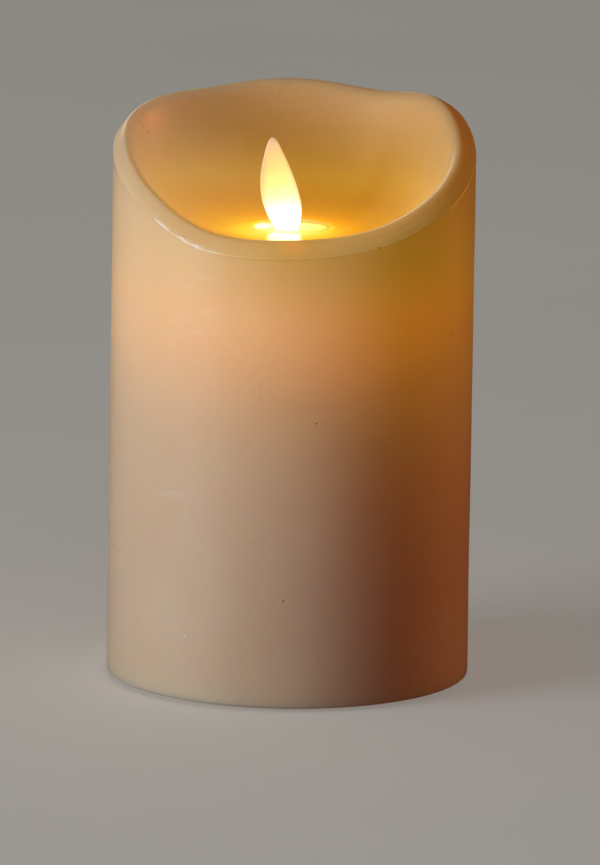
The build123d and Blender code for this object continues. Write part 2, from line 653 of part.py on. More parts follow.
def capacitor():
    """Upright can with a scored top."""
    x, y = CAN_AT
    top = BOARD_TOP + CAN_HIGH
    can = post(x, y, (BOARD_TOP, top), CAN_R)
    can = fillet(can.edges().filter_by(GeomType.CIRCLE), 0.4)
    return can - box(span(x, 2.1), span(y, 0.15), (top - 0.15, top + 1))


def driver_transistor():
    """Small D-shaped package on three legs."""
    x, y = TRANSISTOR_AT
    body_r, leg_long, body_high = 2.3, 2.0, 4.6
    body_z = (BOARD_TOP + leg_long, BOARD_TOP + leg_long + body_high)
    body = post(x, y, body_z, body_r)
    body -= box(span(x, 3.0), (y - 4.0, y - 1.4), (BOARD_TOP, BOARD_TOP + 9))
    for leg in (-1, 0, 1):
        leg_x = span(x + leg * TRANSISTOR_PITCH, 0.2)
        body += box(leg_x, span(y, 0.2), (BOARD_TOP, body_z[0] + 0.2))
    return body


def resistors():
    z = (BOARD_TOP, BOARD_TOP + 0.55)
    return group(box(span(x, 1.0), span(y, 0.62), z) for x, y in RESISTORS)


def board_screws():
    one = Rot(180, 0, 0) * screw(0.85, 4.2, 1.9, 1.1)
    return group(Pos(x, y, BOARD_TOP + TOUCH) * one for x, y in STANDOFFS)


# ---------------------------------------------------------------- wiring
def bend_radii(points):
    """The largest arc that the two runs at each corner allow."""
    radii = []
    for before, here, after in zip(points, points[1:], points[2:]):
        run1 = Vector(*here) - Vector(*before)
        run2 = Vector(*after) - Vector(*here)
        turn = math.radians(run1.get_angle(run2))
        shorter = min(run1.length, run2.length)
        radii.append(BEND_SHARE * shorter / math.tan(turn / 2))
    return radii


def wire(name, points):
    """Insulated wire along straight runs joined by tangent arcs."""
    radii = bend_radii(points)
    path = FilletPolyline(*points, radius=radii)
    section = Plane(origin=path @ 0, z_dir=path % 0) * Circle(WIRE_OUT_R)
    tube = sweep(section, path)
    expected = math.pi * WIRE_OUT_R**2 * path.length
    print(name, "radii", [round(r, 1) for r in radii], "volume ratio", round(tube.volume / expected, 3))
    return tube


def lamp_wire_route(side):
    """From one of the lamp's leads, down in front of the coil, to the board."""
    tilt = math.radians(LAMP_TILT)
    end = LAMP_LONG + LEAD_LONG
    straight = 1.2
    x, down_x, down_y = side * LEAD_X, side * 4.0, -9.5
    y = LAMP_TIP[1] - end * math.sin(tilt)
    z = LAMP_TIP[2] - end * math.cos(tilt)
    bend_y = y - straight * math.sin(tilt)
    bend_z = z - straight * math.cos(tilt)
    return [(x, y, z), (x, bend_y, bend_z), (x, bend_y, 47.0),
            (down_x, down_y, 36.0), (down_x, down_y, BOARD_TOP)]


def coil_wire_route(side):
    """From one of the coil's pins to the board."""
    pin_x, board_x, board_y = side * PIN_X, side * 8.0, 9.0
    return [(pin_x, PIN_Y, PIN_LOW), (pin_x, PIN_Y, 43.0),
            (board_x, board_y, 33.5), (board_x, board_y, BOARD_TOP)]


def cell_wire_route(side):
    """From a contact's solder tab, up and over the board's edge, down onto the board."""
    y = side * CELL_Y
    tab_z, over_z, board_x = 21.6, 32.0, -11.4
    return [(0.01 - CONTACT_IN, y, tab_z), (-20.2, y, tab_z), (-19.6, y * 0.95, over_z),
            (board_x, y * 0.8, over_z - 0.4), (board_x, y * 0.8, BOARD_TOP)]


def switch_wire_route(x):
    """From one of the switch's terminals, up and forwards to the board."""
    top = SWITCH_ROOF + SWITCH_HIGH + TERMINAL_LONG
    over_z, board_x, board_y = 33.0, x + 1.5, 9.7
    return [(x, SWITCH_Y, top), (x, SWITCH_Y, over_z), (board_x, board_y, over_z + 0.6),
            (board_x, board_y, BOARD_TOP)]


# ---------------------------------------------------------------- write every piece
def main():
    os.makedirs("parts", exist_ok=True)
    pieces = {
        "wax_shell": wax_shell(),
        "inner_sleeve": inner_sleeve(),
        "module_shell_left": module_half(-1),
        "module_shell_right": module_half(1),
        "module_joining_screws": join_screws(),
        "module_mounting_screws": module_screws(),
        "pivot_wire": pivot_wire(),
        "flame_leaf": flame_leaf(),
        "flame_magnet": flame_magnet(),
        "led_lamp": led_lamp(),
        "led_leads": led_leads(),
        "led_holder": led_holder(),
        "coil_bobbin": coil_bobbin(),
        "coil_core": coil_core(),
        "coil_winding": coil_winding(),
        "coil_pins": coil_pins(),
        "base_housing": base_housing(),
        "battery_door": battery_door(),
        "battery_cell_1": battery_cell(1),
        "battery_cell_2": battery_cell(-1),
        "negative_spring": cell_spring(-1, CELL_Y),
        "link_spring": cell_spring(1, -CELL_Y),
        "negative_contact": end_contact(CELL_Y),
        "positive_contact": end_contact(-CELL_Y),
        "link_contact": link_contact(),
        "rubber_feet": rubber_feet(),
        "base_screws": base_screws(),
        "switch_body": switch_body(),
        "switch_slider": switch_slider(),
        "switch_terminals": switch_terminals(),
        "switch_screws": switch_screws(),
        "circuit_board": circuit_board(),
        "controller_chip": controller_chip(),
        "capacitor": capacitor(),
        "driver_transistor": driver_transistor(),
        "resistors": resistors(),
        "board_screws": board_screws(),
    }
    routes = {
        "led_wire_red": lamp_wire_route(-1),
        "led_wire_black": lamp_wire_route(1),
        "coil_wire_left": coil_wire_route(-1),
        "coil_wire_right": coil_wire_route(1),
        "battery_wire_black": cell_wire_route(1),
        "battery_wire_red": cell_wire_route(-1),
        "switch_wire_red": switch_wire_route(-TERMINAL_X),
        "switch_wire_yellow": switch_wire_route(TERMINAL_X),
    }
    for name, points in routes.items():
        pieces[name] = wire(name, points)
    for name, shape in pieces.items():
        save(shape, name)


main()
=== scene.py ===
import json
import math

import bmesh
import bpy
import numpy as np
from mathutils import Matrix, Vector, noise


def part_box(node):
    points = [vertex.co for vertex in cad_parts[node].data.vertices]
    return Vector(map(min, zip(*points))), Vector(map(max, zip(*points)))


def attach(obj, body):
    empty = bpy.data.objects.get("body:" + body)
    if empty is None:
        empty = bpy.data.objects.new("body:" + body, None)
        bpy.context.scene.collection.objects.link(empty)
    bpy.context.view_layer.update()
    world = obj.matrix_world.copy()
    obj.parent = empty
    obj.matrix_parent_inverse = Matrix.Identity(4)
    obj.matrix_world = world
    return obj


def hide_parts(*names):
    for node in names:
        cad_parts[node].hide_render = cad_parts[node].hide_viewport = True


MM = 0.001

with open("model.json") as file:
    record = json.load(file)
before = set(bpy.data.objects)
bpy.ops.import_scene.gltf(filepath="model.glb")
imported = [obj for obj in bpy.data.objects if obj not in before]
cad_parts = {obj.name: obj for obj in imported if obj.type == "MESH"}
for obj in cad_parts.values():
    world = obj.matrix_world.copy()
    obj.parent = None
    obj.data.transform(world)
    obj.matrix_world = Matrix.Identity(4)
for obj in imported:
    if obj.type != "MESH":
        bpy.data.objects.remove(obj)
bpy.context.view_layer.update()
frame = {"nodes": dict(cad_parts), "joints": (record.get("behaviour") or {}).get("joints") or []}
NODES = frame["nodes"]

# ---------------------------------------------------------------- sizes, from the frame
WAX_LOW, WAX_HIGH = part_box("wax_shell")
WAX_R = WAX_HIGH.x
WAX_BOTTOM = WAX_LOW.z
PIVOT = Vector(frame["joints"][0]["pos_m"])
CORE_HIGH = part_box("inner_sleeve")[1]
NECK_TOP = CORE_HIGH.z

BOWL_FLOOR = NECK_TOP + 0.2 * MM
BOWL_FLOOR_R = 10.0 * MM
BOWL_SHAPE = 2.5
BOWL_SHIFT = -0.7 * MM
CREST_R = WAX_R - 4.0 * MM
BORE_R = CORE_HIGH.x + 0.1 * MM
BORE_TOP = NECK_TOP - 9.3 * MM
HOLE_R = 8.7 * MM
HOLE_EASE = 0.5 * MM
FOOT_EASE = 0.6 * MM

# The rim slopes down outward from its crest; where it drops most is an angle from +X.
RIM_DROP = 2.6 * MM
RIM_DROP_SWING = 0.6 * MM
RIM_DROP_MOST = -131
RIM_SHAPE = 1.6
EDGE_WAVE = 0.12 * MM

# Rounding of the crest: how far it smooths, how far from the crest it acts, and how much it lifts.
LIP_ROUND = 1.2 * MM
LIP_REACH = 2.6 * MM
LIP_RAISE = 0.22 * MM

# The wax's outside lies a little inside the CAD cylinder and is uneven.
WALL_INSET = 0.09 * MM
WALL_WAVE = 0.07 * MM
WALL_RIPPLE = 0.02 * MM
WALL_ROWS = 74
BOWL_WAVE = 0.22 * MM

# Outer edge, from below: (in from the wall, above the edge, how far torn flash lifts it), in metres.
SEAM_LOW = 0.5 * MM
EDGE_STEPS = [
    (0.05 * MM, -0.75 * MM, 0.0),
    (0.12 * MM, -SEAM_LOW, 0.0),
    (0.06 * MM, -0.28 * MM, 0.0),
    (0.10 * MM, -0.02 * MM, 0.55 * MM),
    (0.22 * MM, 0.10 * MM, 0.65 * MM),
    (0.40 * MM, 0.22 * MM, 0.30 * MM),
]
EDGE_DEEP = 0.5 * MM

# Torn mould flash: where it lies, in degrees from +X, and the closer columns that carry it.
BURR_MIDDLE = -126.5
BURR_HALF = 15.0
FINE_FROM, FINE_TO, FINE_STEP = -154.0, -94.0, 0.34
COARSE_COLUMNS = 400

# Flame leaf. Places along it are in mm above its wire; half thicknesses are in mm too.
FLAME_LEAN = math.radians(8.45)
FLAME_TIP = 33.8
BLADE_FROM = 10.0
BLADE_BLEND = 6.0
STEM_THICK = 0.7
BLADE_THINNER = 0.25
LEAF_DISH = 0.9 * MM
LEAF_HALF = 4.4 * MM
EYE_R = 0.48 * MM
CUP_R, CUP_LOW, CUP_HIGH = 3.1 * MM, -16.5 * MM, -12.0 * MM
POCKET_R, POCKET_TOP = 2.52 * MM, -13.35 * MM
CUP_EASE = 0.35 * MM
CUP_POINT_R = 0.4 * MM

# Camera: distances in metres, angles in degrees, lens in mm.
CAMERA_TARGET = Vector((0.0021, 0.0, 0.0542))
CAMERA_AWAY = 3.5
CAMERA_ELEVATION = 12.2
CAMERA_ROLL = 0.89
LENS = 660

# Height of the rim's crest every 30 degrees anticlockwise from the front, in mm, as in the part.
RIM = [104.7, 106.5, 112.2, 119.3, 126.2, 125.4, 126.8, 125.6, 124.8, 121.0, 113.1, 105.6]
RIM_STEP = 360 / len(RIM)

# Specks in the wax's outside: (degrees, height mm, radius mm), dark ones and pale ones.
DARK_SPECKS = [
    (-91.4, 25.0, 0.24), (-81.8, 64.8, 0.24), (-103.0, 13.3, 0.15), (-80.0, 11.6, 0.15),
    (-62.0, 103.2, 0.30), (15.0, 58.0, 0.24), (84.0, 40.0, 0.26), (137.0, 79.0, 0.22),
    (200.0, 30.0, 0.24),
]
PALE_SPECKS = [(-68.8, 28.0, 0.26), (-124.3, 15.4, 0.30), (40.0, 84.0, 0.26), (110.0, 22.0, 0.28)]


# ---------------------------------------------------------------- mesh helpers
def new_object(name, mesh, body, material):
    """A piece of the visual model, riding on a body."""
    piece = bpy.data.objects.new(name, mesh)
    bpy.context.scene.collection.objects.link(piece)
    mesh.materials.clear()
    mesh.materials.append(material)
    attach(piece, body)
    return piece


def grid_mesh(name, points, around, along):
    """Quads over points[row][column]; the columns, the rows or both may close on themselves."""
    rows, columns = points.shape[:2]
    mesh = bpy.data.meshes.new(name)
    faces = []
    for i in range(rows if along else rows - 1):
        for j in range(columns if around else columns - 1):
            i2 = (i + 1) % rows
            j2 = (j + 1) % columns
            faces.append((i * columns + j, i * columns + j2, i2 * columns + j2, i2 * columns + j))
    mesh.from_pydata([tuple(p) for p in points.reshape(-1, 3)], [], faces)
    for polygon in mesh.polygons:
        polygon.use_smooth = True
    mesh.update()
    return mesh


def close_ends(mesh):
    """Cap the two open ends of a tube and point its faces outward."""
    work = bmesh.new()
    work.from_mesh(mesh)
    bmesh.ops.holes_fill(work, edges=[e for e in work.edges if e.is_boundary], sides=0)
    bmesh.ops.recalc_face_normals(work, faces=work.faces)
    work.to_mesh(mesh)
    work.free()


def circle(radius, steps):
    """Points of a circle about the origin: (across, along)."""
    turns = [2 * math.pi * k / steps for k in range(steps)]
    return [(radius * math.cos(turn), radius * math.sin(turn)) for turn in turns]


def cubic(start, end, slope_in, slope_out, t):
    """Value at t, 0 to 1, between two values with a given slope at each."""
    rise = start * (2 * t**3 - 3 * t**2 + 1) + slope_in * (t**3 - 2 * t**2 + t)
    return rise + end * (3 * t**2 - 2 * t**3) + slope_out * (t**3 - t**2)


# ---------------------------------------------------------------- wax shape
def rim_height(angle):
    """Crest height in metres at an angle in degrees from +X: a smooth curve through RIM."""
    turns = (angle + 90) % 360 / RIM_STEP
    place = int(turns)
    h0, h1, h2, h3 = [RIM[(place + i) % len(RIM)] for i in (-1, 0, 1, 2)]
    return cubic(h1, h2, (h2 - h0) / 2, (h3 - h1) / 2, turns - place) * MM


def rim_drop(angle):
    """How far the rim falls from its crest to its outer edge."""
    return RIM_DROP + RIM_DROP_SWING * math.cos(math.radians(angle - RIM_DROP_MOST))


def wax_top(r, crest, drop):
    """Height of the wax's top at a radius, for one direction's crest height and drop."""
    if r >= CREST_R:
        return crest - drop * ((r - CREST_R) / (WAX_R - CREST_R)) ** RIM_SHAPE
    inward = min((CREST_R - r) / (CREST_R - BOWL_FLOOR_R), 1.0)
    return BOWL_FLOOR + (crest - BOWL_FLOOR) * (1 - inward) ** BOWL_SHAPE


def soft_top(r, crest, drop):
    """The same height with the lip rounded over, as wax that has been warm is."""
    near = max(0.0, 1 - ((r - CREST_R) / LIP_REACH) ** 2)
    steps = (-1.0, -0.6, -0.2, 0.2, 0.6, 1.0)
    around = [wax_top(r + k * near * LIP_ROUND, crest, drop) for k in steps]
    return sum(around) / len(steps) + near * LIP_RAISE


def wobble(x, y, z, scale, seed):
    """Smooth unevenness, about -0.5 to 0.5, with bumps of one size."""
    return noise.noise(Vector((x / scale + seed, y / scale - seed, z / scale + 3.1 * seed)))


def wall_place(angle):
    """X and Y of the wax's outside in one direction."""
    turn = math.radians(angle)
    return WAX_R * math.cos(turn), WAX_R * math.sin(turn)


def burr_left(angle):
    """How much of the torn mould flash is left on the outer edge, 0 to 1, in broken runs."""
    inside = min(1.0, max(0.0, 1 - abs(angle - BURR_MIDDLE) / BURR_HALF) * 3.0)
    run = 0.5 + 1.6 * wobble(*wall_place(angle), 0, 2.4 * MM, 9.0)
    return inside * min(1.0, max(0.0, run))


def edge_wave(angle):
    """How far the outer edge wanders up or down."""
    return EDGE_WAVE * wobble(*wall_place(angle), 0, 9 * MM, 4.0)


def edge_height(angle):
    """Height of the outer edge of the rim."""
    return rim_height(angle) - rim_drop(angle) + edge_wave(angle)


def bore_outline():
    """Out under the roof, down the bore, and out along the bottom to its eased corner."""
    out = [(r, BORE_TOP) for r in np.linspace(HOLE_R, BORE_R, 4)]
    out += [(BORE_R, z) for z in np.linspace(BORE_TOP, WAX_BOTTOM, 7)[1:]]
    out += [(r, WAX_BOTTOM) for r in np.linspace(BORE_R, WAX_R - FOOT_EASE, 4)[1:]]
    out.append((WAX_R - 0.55 * FOOT_EASE, WAX_BOTTOM + 0.12 * FOOT_EASE))
    out.append((WAX_R - 0.20 * FOOT_EASE, WAX_BOTTOM + 0.42 * FOOT_EASE))
    return out


def wall_outline(angle):
    """Up the uneven outside, to 1 mm below the edge."""
    x, y = wall_place(angle)
    out = []
    for z in np.linspace(WAX_BOTTOM + FOOT_EASE, edge_height(angle) - 1.0 * MM, WALL_ROWS):
        r = WAX_R - WALL_INSET + WALL_WAVE * wobble(x, y, z * 0.7, 15 * MM, 2.0)
        out.append((r + WALL_RIPPLE * wobble(x, y, z, 5 * MM, 5.0), z))
    return out


def edge_outline(angle):
    """Round the outer edge: the seam's groove, then the edge with what is left of its flash."""
    edge = edge_height(angle)
    torn = burr_left(angle) * (0.5 + wobble(*wall_place(angle), 0, 0.8 * MM, 7.0))
    return [(WAX_R - inward, edge + up + lift * torn) for inward, up, lift in EDGE_STEPS]


def top_outline(angle):
    """In over the crest and down the bowl to its floor."""
    crest = rim_height(angle)
    drop = rim_drop(angle)
    wave = edge_wave(angle) / (WAX_R - CREST_R)
    cx, cy = math.cos(math.radians(angle)), math.sin(math.radians(angle))
    out = []
    for r in np.linspace(WAX_R - 0.6 * MM, CREST_R + 2.4 * MM, 5):
        out.append((r, wax_top(r, crest, drop) + wave * (r - CREST_R)))
    for r in np.linspace(CREST_R + 2.1 * MM, CREST_R - 2.4 * MM, 18):
        out.append((r, soft_top(r, crest, drop) + wave * max(0.0, r - CREST_R)))
    start = CREST_R - 2.8 * MM
    for r in start - (start - BOWL_FLOOR_R) * np.linspace(0, 1, 34) ** 1.15:
        ease = min(1.0, (r - BOWL_FLOOR_R) / (8 * MM))
        bump = ease * BOWL_WAVE * wobble(r * cx, r * cy, 0, 9 * MM, 11.0)
        out.append((r, wax_top(r, crest, drop) + bump))
    return out


def hole_outline():
    """Over the eased edge of the hole for the core's neck, and down it."""
    low = BOWL_FLOOR - 0.35 * MM
    out = [(HOLE_R + HOLE_EASE, BOWL_FLOOR - 0.02 * MM), (HOLE_R + 0.15 * MM, BOWL_FLOOR - 0.10 * MM)]
    return out + [(HOLE_R, z) for z in np.linspace(low, BORE_TOP, 4)[:-1]]


def wax_profile(angle):
    """Closed outline of the wax in one direction, from the roof's underside: (radius, height)."""
    rising = bore_outline() + wall_outline(angle) + edge_outline(angle)
    return rising + top_outline(angle) + hole_outline()


def wax_point(angle, r, z):
    """A point of the outline in space; the bowl's own axis lies a little to the left."""
    inside = min(max((WAX_R - r) / (WAX_R - CREST_R), 0.0), 1.0)
    if z < BOWL_FLOOR - 0.01 * MM or r < HOLE_R + HOLE_EASE + 0.1 * MM:
        inside = 0.0
    turn = math.radians(angle)
    return (BOWL_SHIFT * inside + r * math.cos(turn), r * math.sin(turn), z)


def wax_angles():
    """Directions of the outlines, closest together where the edge is torn."""
    fine = np.arange(FINE_FROM, FINE_TO, FINE_STEP)
    coarse = np.linspace(FINE_TO, FINE_FROM + 360, COARSE_COLUMNS, endpoint=False)
    return np.concatenate([fine, coarse])


def mark_edge(mesh):
    """Point attributes for the wax's material: the torn flash, and the seam under the edge."""
    torn, seam = [], []
    for vertex in mesh.vertices:
        x, y, z = vertex.co
        angle = math.degrees(math.atan2(y, x))
        above = z - edge_height(angle)
        outside = math.hypot(x, y) > WAX_R - EDGE_DEEP
        torn.append(burr_left(angle) if outside and above > -0.3 * MM else 0.0)
        seam.append(1.0 if outside and abs(above + SEAM_LOW) < 0.06 * MM else 0.0)
    mesh.attributes.new("torn", "FLOAT", "POINT").data.foreach_set("value", torn)
    mesh.attributes.new("seam", "FLOAT", "POINT").data.foreach_set("value", seam)


def make_wax(material):
    rings = [[wax_point(angle, r, z) for r, z in wax_profile(angle)] for angle in wax_angles()]
    points = np.array(rings).transpose(1, 0, 2)
    mesh = grid_mesh("wax_pillar", points, around=True, along=True)
    mark_edge(mesh)
    piece = new_object("wax_pillar", mesh, "candle", material)
    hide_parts("wax_shell")
    return piece


# ---------------------------------------------------------------- flame leaf
# Leaf outline: (height above the wire, half width) on each side, in mm.
STEM = [(-12.0, 1.9), (-8.0, 1.6), (-4.0, 1.6), (-2.4, 2.1), (0.0, 2.6), (2.4, 2.1), (4.0, 1.6)]
LEAF_LEFT = STEM + [(8, 1.6), (13, 1.9), (17, 3.4), (21, 4.15), (26, 3.65), (31, 2.0), (32.6, 1.25)]
LEAF_RIGHT = STEM + [(8, 1.6), (10.5, 1.8), (14, 3.5), (18, 4.3), (23, 3.8), (28, 2.6), (32.5, 1.15)]


def leaf_width(u, shape):
    """Half width in metres at a height above the wire: a smooth curve with a round tip."""
    end_u, end_w = shape[-1]
    if u > end_u:
        return end_w * math.sqrt(max(0.0, (FLAME_TIP - u) / (FLAME_TIP - end_u))) * MM
    place = min(max(i for i in range(len(shape)) if shape[i][0] <= u), len(shape) - 2)
    u1, w1 = shape[place]
    u2, w2 = shape[place + 1]
    u0, w0 = shape[max(place - 1, 0)]
    u3, w3 = shape[min(place + 2, len(shape) - 1)]
    slope_in = (w2 - w0) / (u2 - u0) * (u2 - u1)
    slope_out = (w3 - w1) / (u3 - u1) * (u2 - u1)
    return cubic(w1, w2, slope_in, slope_out, (u - u1) / (u2 - u1)) * MM


def leaf_section(u, steps):
    """Closed cross-section of the leaf at a height: dished, thick in the middle, round edges."""
    left = max(leaf_width(u, LEAF_LEFT), 0.02 * MM)
    right = max(leaf_width(u, LEAF_RIGHT), 0.02 * MM)
    blade = min(max((u - BLADE_FROM) / BLADE_BLEND, 0.0), 1.0)
    thick = (STEM_THICK - BLADE_THINNER * blade) * MM * min(1.0, (left + right) / (2.2 * MM)) ** 0.5
    dish = LEAF_DISH * blade * (left / LEAF_HALF) ** 2
    ring = []
    for along, up in circle(1.0, steps):
        across = math.copysign(abs(along) ** 0.75, along)
        y = thick * math.copysign(abs(up) ** 0.8, up)
        bend = dish * (across**2 - 0.35)
        ring.append((across * (right if across > 0 else left), y - bend, u * MM))
    return ring


def lathe(profile, steps, name):
    """Closed solid of revolution about Z from a closed (radius, height) outline."""
    points = [[(x, y, z) for x, y in circle(r, steps)] for r, z in profile]
    return grid_mesh(name, np.array(points), around=True, along=True)


def leaf_blade_mesh():
    """The leaf from its cup to its tip, in rings that close up towards the tip."""
    heights = list(np.linspace(-12.0, 10.0, 34)) + list(np.linspace(10.5, 33.2, 64))
    heights += [FLAME_TIP - back for back in (0.35, 0.16, 0.05)]
    rings = np.array([leaf_section(u, 48) for u in heights])
    mesh = grid_mesh("leaf_blade", rings, around=True, along=False)
    close_ends(mesh)
    return mesh


def cup_mesh():
    """Cup at the leaf's tail, open below, with the magnet's pocket in it."""
    outline = [
        (POCKET_R, CUP_LOW), (CUP_R - CUP_EASE, CUP_LOW), (CUP_R, CUP_LOW + CUP_EASE),
        (CUP_R, CUP_HIGH - CUP_EASE), (CUP_R - CUP_EASE, CUP_HIGH), (CUP_POINT_R, CUP_HIGH + 0.25 * MM),
        (CUP_POINT_R, POCKET_TOP), (POCKET_R, POCKET_TOP),
    ]
    return lathe(outline, 64, "cup")


def eye_mesh():
    """Rod along Y that drills the eye for the pivot wire."""
    rings = [[(x, y, z) for x, z in circle(EYE_R, 32)] for y in (-5 * MM, 5 * MM)]
    mesh = grid_mesh("drill", np.array(rings), around=True, along=False)
    close_ends(mesh)
    return mesh


def boolean(piece, other, operation):
    """Apply one exact boolean to a piece and delete the tool."""
    step = piece.modifiers.new("cut", "BOOLEAN")
    step.operation = operation
    step.solver = "EXACT"
    step.object = other
    graph = bpy.context.evaluated_depsgraph_get()
    made = bpy.data.meshes.new_from_object(piece.evaluated_get(graph))
    piece.modifiers.clear()
    piece.data = made
    bpy.data.objects.remove(other)


def loose(name, mesh):
    """An object in the scene that isn't a piece yet, or is a boolean's tool."""
    thing = bpy.data.objects.new(name, mesh)
    bpy.context.scene.collection.objects.link(thing)
    return thing


def make_flame(material):
    """The leaf as moulded: dished blade, stem, eye for the wire and cup for the magnet."""
    body = loose("flame_leaf_moulding", leaf_blade_mesh())
    boolean(body, loose("cup", cup_mesh()), "UNION")
    boolean(body, loose("drill", eye_mesh()), "DIFFERENCE")
    body.data.transform(Matrix.Translation(PIVOT) @ Matrix.Rotation(-FLAME_LEAN, 4, "Y"))
    body.data.materials.clear()
    body.data.materials.append(material)
    for polygon in body.data.polygons:
        polygon.use_smooth = True
    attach(body, "flame")
    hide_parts("flame_leaf")
    return body


# ---------------------------------------------------------------- material helpers
class Nodes:
    """A material's node tree, with short calls for the nodes used here."""

    def __init__(self, name):
        self.material = bpy.data.materials.new(name)
        self.material.use_nodes = True
        self.tree = self.material.node_tree
        self.shader = self.tree.nodes["Principled BSDF"]
        self.coords = self.tree.nodes.new("ShaderNodeTexCoord").outputs["Object"]

    def link(self, source, target):
        self.tree.links.new(source, target)

    def socket(self, name):
        return self.shader.inputs[name]

    def mapped(self, scale):
        node = self.tree.nodes.new("ShaderNodeMapping")
        node.inputs["Scale"].default_value = scale
        self.link(self.coords, node.inputs["Vector"])
        return node.outputs["Vector"]

    def noise(self, scale, detail=4.0, rough=0.55, stretch=None, distort=0.0):
        node = self.tree.nodes.new("ShaderNodeTexNoise")
        node.inputs["Scale"].default_value = scale
        node.inputs["Detail"].default_value = detail
        node.inputs["Roughness"].default_value = rough
        node.inputs["Distortion"].default_value = distort
        self.link(self.mapped(stretch) if stretch else self.coords, node.inputs["Vector"])
        return node.outputs["Fac"]

    def ramp(self, factor, stops):
        node = self.tree.nodes.new("ShaderNodeValToRGB")
        band = node.color_ramp
        while len(band.elements) < len(stops):
            band.elements.new(0.5)
        for element, (place, colour) in zip(band.elements, stops):
            element.position = place
            element.color = (*colour, 1.0)
        self.link(factor, node.inputs["Fac"])
        return node.outputs["Color"]

    def math(self, operation, a, b=0.0):
        node = self.tree.nodes.new("ShaderNodeMath")
        node.operation = operation
        for value, target in ((a, node.inputs[0]), (b, node.inputs[1])):
            if isinstance(value, (int, float)):
                target.default_value = value
            else:
                self.link(value, target)
        return node.outputs["Value"]

    def spread(self, factor, low, high, to_low, to_high):
        node = self.tree.nodes.new("ShaderNodeMapRange")
        node.inputs["From Min"].default_value = low
        node.inputs["From Max"].default_value = high
        node.inputs["To Min"].default_value = to_low
        node.inputs["To Max"].default_value = to_high
        self.link(factor, node.inputs["Value"])
        return node.outputs["Result"]

    def mix(self, factor, a, b):
        node = self.tree.nodes.new("ShaderNodeMix")
        node.data_type = "RGBA"
        for value, target in ((factor, node.inputs[0]), (a, node.inputs[6]), (b, node.inputs[7])):
            if isinstance(value, (int, float)):
                target.default_value = value
            elif isinstance(value, tuple):
                target.default_value = (*value, 1.0)
            else:
                self.link(value, target)
        return node.outputs[2]

    def attribute(self, name):
        node = self.tree.nodes.new("ShaderNodeAttribute")
        node.attribute_name = name
        return node.outputs["Fac"]

    def split(self):
        node = self.tree.nodes.new("ShaderNodeSeparateXYZ")
        self.link(self.coords, node.inputs[0])
        return node.outputs

    def distance(self, point):
        node = self.tree.nodes.new("ShaderNodeVectorMath")
        node.operation = "DISTANCE"
        self.link(self.coords, node.inputs[0])
        node.inputs[1].default_value = point
        return node.outputs["Value"]

    def bump(self, height, strength, reach):
        node = self.tree.nodes.new("ShaderNodeBump")
        node.inputs["Strength"].default_value = strength
        node.inputs["Distance"].default_value = reach
        self.link(height, node.inputs["Height"])
        previous = self.shader.inputs["Normal"]
        if previous.is_linked:
            self.link(previous.links[0].from_socket, node.inputs["Normal"])
        self.link(node.outputs["Normal"], previous)


def moulded(name, colour, rough):
    """Injection-moulded plastic: fine spark-eroded grain, faint flow marks, uneven sheen."""
    n = Nodes(name)
    shade = 0.06
    flow = n.noise(90.0, 3.0, 0.5, stretch=(1, 1, 0.35))
    light = tuple(min(1.0, c * (1 + shade) + 0.004) for c in colour)
    dark = tuple(c * (1 - shade) for c in colour)
    n.link(n.ramp(flow, [(0.35, dark), (0.65, light)]), n.socket("Base Color"))
    n.link(n.spread(n.noise(400.0, 4.0), 0.3, 0.7, rough - 0.06, rough + 0.07), n.socket("Roughness"))
    n.bump(n.noise(1800.0, 2.0, 0.6), 0.16, 0.02 * MM)
    return n.material


def metal(name, colour, rough, stretch=(1, 1, 12), tarnish=0.25):
    """Drawn or plated metal: draw lines one way, dull tarnish in patches."""
    n = Nodes(name)
    n.socket("Metallic").default_value = 1.0
    patches = n.noise(160.0, 5.0, 0.6)
    dull = tuple(c * (1 - tarnish) for c in colour)
    n.link(n.ramp(patches, [(0.38, dull), (0.62, colour)]), n.socket("Base Color"))
    lines = n.noise(900.0, 3.0, 0.6, stretch=stretch)
    n.link(n.spread(lines, 0.3, 0.7, rough - 0.07, rough + 0.12), n.socket("Roughness"))
    n.bump(lines, 0.25, 0.02 * MM)
    return n.material


# ---------------------------------------------------------------- wax and light
# Places that light and colour are measured from, in the object's own frame.
GLOW_CENTRE = (-0.002, -0.006, 0.0936)
FRONT_LIP = (0.0, -0.038, 0.1054)
BOWL_BACK = (0.010, 0.008, 0.108)
NECK_LEFT = (-0.0064, 0.0, NECK_TOP)
SPOT_IN, SPOT_OUT = 1.6 * MM, 4.2 * MM

# Colour of the light soaked through, by distance from its centre in mm.
GLOW = [
    (8.0, (1.00, 0.80, 0.14)), (11.5, (0.94, 0.62, 0.03)), (15.0, (0.74, 0.36, 0.006)),
    (20.0, (0.54, 0.22, 0.0)), (27.0, (0.37, 0.150, 0.0)), (34.0, (0.30, 0.148, 0.0)),
    (38.0, (0.205, 0.102, 0.0)), (43.0, (0.130, 0.062, 0.0)), (50.0, (0.088, 0.036, 0.0)),
    (59.0, (0.066, 0.020, 0.0)), (77.0, (0.044, 0.008, 0.0)), (100.0, (0.030, 0.004, 0.0)),
]
GLOW_REACH = GLOW[-1][0]

